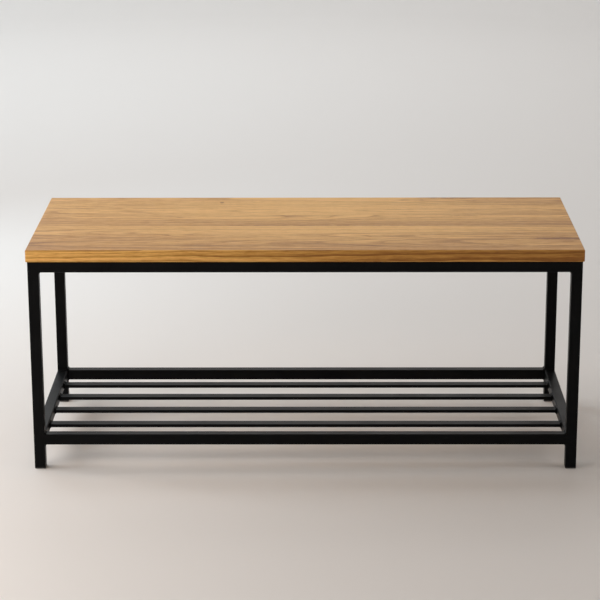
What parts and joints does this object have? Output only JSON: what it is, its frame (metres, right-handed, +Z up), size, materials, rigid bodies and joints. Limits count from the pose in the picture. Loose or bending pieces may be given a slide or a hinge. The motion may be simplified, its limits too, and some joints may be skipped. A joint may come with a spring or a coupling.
{
  "type": "entryway bench",
  "caption": "Low entryway bench: a solid oak seat board on a slim welded frame of black square steel tube, with an open shelf of flat bars just above the floor for shoes.",
  "frame": {"origin": "on the floor, under the middle of the seat board", "axes": "+X along the bench to the sitter's left when seated facing the front, which is the right seen from the front; +Y from the front to the back; +Z up"},
  "size_m": [1, 0.405, 0.416],
  "materials": {
    "oak": "oiled solid oak, lengthwise grain, satin",
    "black_powder_coat": "satin black powder coat over welded steel",
    "zinc_steel": "zinc plated",
    "glide_plastic": "moulded black polyethylene"
  },
  "bodies": {
    "root": {"bar_welds_left": "black_powder_coat", "bar_welds_right": "black_powder_coat", "fillet_welds_back_left": "black_powder_coat", "fillet_welds_back_right": "black_powder_coat", "fillet_welds_front_left": "black_powder_coat", "fillet_welds_front_right": "black_powder_coat", "flush_welds_back_left": "black_powder_coat", "flush_welds_back_right": "black_powder_coat", "flush_welds_front_left": "black_powder_coat", "flush_welds_front_right": "black_powder_coat", "foot_glide_back_left": "glide_plastic", "foot_glide_back_right": "glide_plastic", "foot_glide_front_left": "glide_plastic", "foot_glide_front_right": "glide_plastic", "leg_back_left": "black_powder_coat", "leg_back_right": "black_powder_coat", "leg_front_left": "black_powder_coat", "leg_front_right": "black_powder_coat", "mounting_tab_back_left": "black_powder_coat", "mounting_tab_back_middle": "black_powder_coat", "mounting_tab_back_right": "black_powder_coat", "mounting_tab_front_left": "black_powder_coat", "mounting_tab_front_middle": "black_powder_coat", "mounting_tab_front_right": "black_powder_coat", "seat_screws": "zinc_steel", "seat_stave_back": "oak", "seat_stave_back_inner": "oak", "seat_stave_front": "oak", "seat_stave_front_inner": "oak", "seat_stave_middle": "oak", "seat_washers": "zinc_steel", "shelf_bar_1": "black_powder_coat", "shelf_bar_2": "black_powder_coat", "shelf_bar_3": "black_powder_coat", "shelf_bar_4": "black_powder_coat", "shelf_rail_back": "black_powder_coat", "shelf_rail_front": "black_powder_coat", "shelf_rail_left": "black_powder_coat", "shelf_rail_right": "black_powder_coat", "tab_welds": "black_powder_coat", "top_rail_back": "black_powder_coat", "top_rail_front": "black_powder_coat", "top_rail_left": "black_powder_coat", "top_rail_right": "black_powder_coat"}
  },
  "joints": []
}
